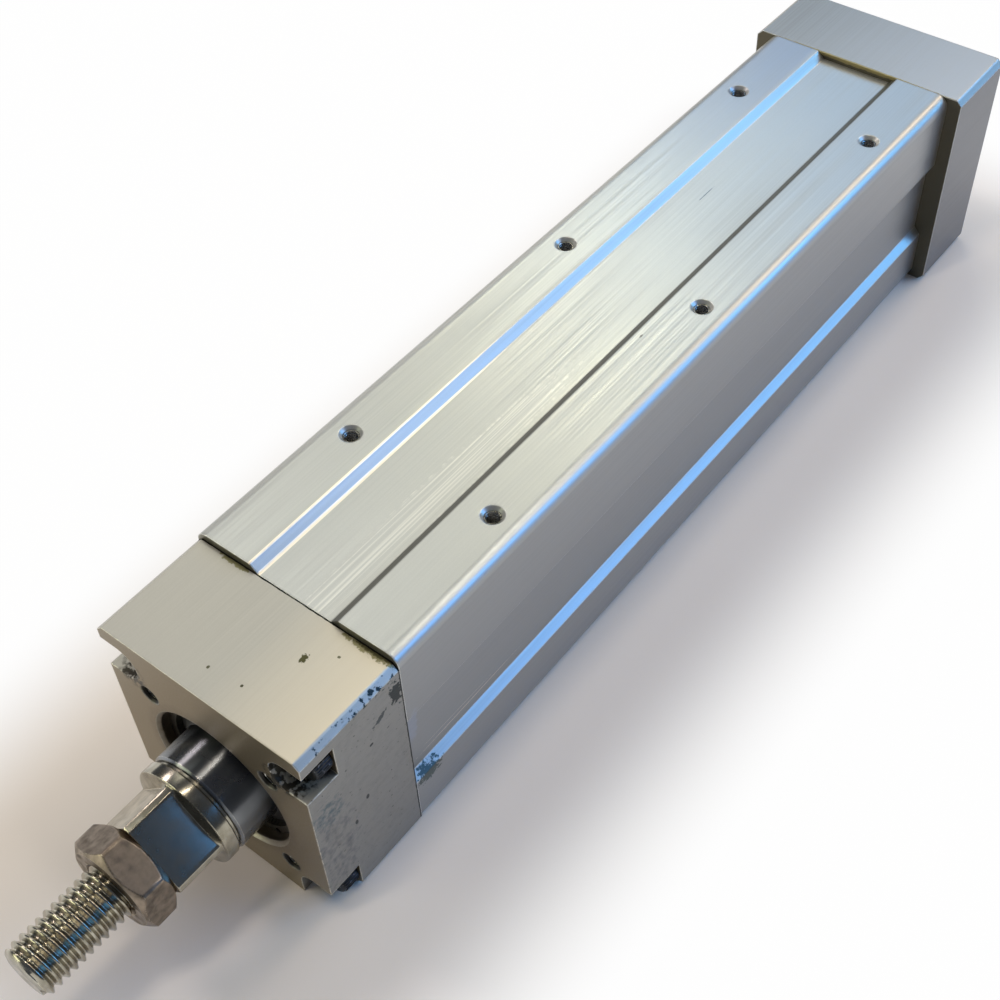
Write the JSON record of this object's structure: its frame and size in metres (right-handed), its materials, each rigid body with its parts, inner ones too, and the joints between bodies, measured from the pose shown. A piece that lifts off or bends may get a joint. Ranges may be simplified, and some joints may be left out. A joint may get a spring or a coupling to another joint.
{
  "type": "electric linear actuator",
  "caption": "Slim square-bodied electric rod actuator: an enclosed motor and ball screw drive a round rod with wrench flats, lock nut and threaded stud.",
  "frame": {"origin": "on the rod's axis, at the front face of the front block, which is the front mounting face", "axes": "+X along the rod as it comes out, +Z the face with the six tapped mounting holes, +Y completes the right-handed frame"},
  "size_m": [0.2195, 0.04, 0.039],
  "materials": {
    "anodised_body": "satin",
    "anodised_block": "satin",
    "anodised_cover": "satin",
    "turned_aluminium": "machined",
    "polished_rod": "polished",
    "nickelled_steel": "semi-bright",
    "blackened_steel": "black oxide",
    "spring_steel": "phosphated",
    "bearing_steel": "ground",
    "nitrile_rubber": "matte",
    "urethane": "satin",
    "sintered_bronze": "matte",
    "acetal": "matte",
    "motor_steel": "painted",
    "magnet": "nickel coated",
    "copper_wire": "enamelled",
    "etched_steel": "etched",
    "board_green": "solder mask",
    "nickelled_brass": "nickel plated",
    "insert_black": "moulded",
    "gold_pin": "gold plated"
  },
  "bodies": {
    "housing": {"body_extrusion": "anodised_body", "front_housing": "anodised_block", "front_housing_screws": "blackened_steel", "front_o_ring": "nitrile_rubber", "wiper_seal": "nitrile_rubber", "seal_retaining_ring": "spring_steel", "rod_bushing": "sintered_bronze", "front_bumper": "urethane", "support_housing": "turned_aluminium", "support_snap_ring": "spring_steel", "rear_bumper": "urethane", "bearing_outer_rings": "bearing_steel", "bearing_retainer": "bearing_steel", "coupling_sleeve": "turned_aluminium", "motor_case": "motor_steel", "motor_front_bell": "turned_aluminium", "motor_rear_bell": "turned_aluminium", "motor_bearings": "bearing_steel", "motor_stator": "motor_steel", "motor_windings": "copper_wire", "motor_leads": "copper_wire", "encoder_board": "board_green", "encoder_board_screws": "blackened_steel", "rear_cover": "anodised_cover", "rear_o_ring": "nitrile_rubber", "rear_cover_screws": "blackened_steel", "inlet_shell": "nickelled_brass", "inlet_nut": "nickelled_brass", "inlet_insert": "insert_black", "inlet_pins": "gold_pin"},
    "rod": {"rod_tube": "polished_rod", "rod_end": "nickelled_steel", "lock_nut": "nickelled_steel", "nut_carrier": "turned_aluminium", "guide_pads": "acetal", "ball_nut": "bearing_steel", "ball_nut_balls": "bearing_steel", "ball_nut_screws": "blackened_steel"},
    "screw": {"ball_screw": "bearing_steel", "screw_tip_guide": "acetal", "bearing_inner_rings": "bearing_steel", "bearing_locknut": "bearing_steel", "coupling_hub_front": "turned_aluminium", "coupling_hub_rear": "turned_aluminium", "coupling_spider": "urethane", "coupling_set_screws": "blackened_steel", "motor_shaft": "bearing_steel", "motor_rotor": "motor_steel", "rotor_magnets": "magnet", "encoder_disc": "etched_steel"},
    "cages": {"bearing_balls": "bearing_steel", "bearing_cages": "acetal"}
  },
  "joints": [
    {"name": "rod_slide", "type": "slide", "parent": "housing", "child": "rod", "axis": [1, 0, 0], "range_m": [0, 0.05]},
    {"name": "screw_spin", "type": "hinge", "parent": "housing", "child": "screw", "pos_m": [-0.1, 0, 0], "axis": [1, 0, 0], "range_deg": [-3601, 1]},
    {"name": "cage_spin", "type": "hinge", "parent": "housing", "child": "cages", "pos_m": [-0.105, 0, 0], "axis": [1, 0, 0], "range_deg": [-1477, 1]}
  ],
  "couplings": [
    {"joint": "screw_spin", "follows": "rod_slide", "rad_per_m": -1256.6},
    {"joint": "cage_spin", "follows": "rod_slide", "rad_per_m": -515.22}
  ]
}
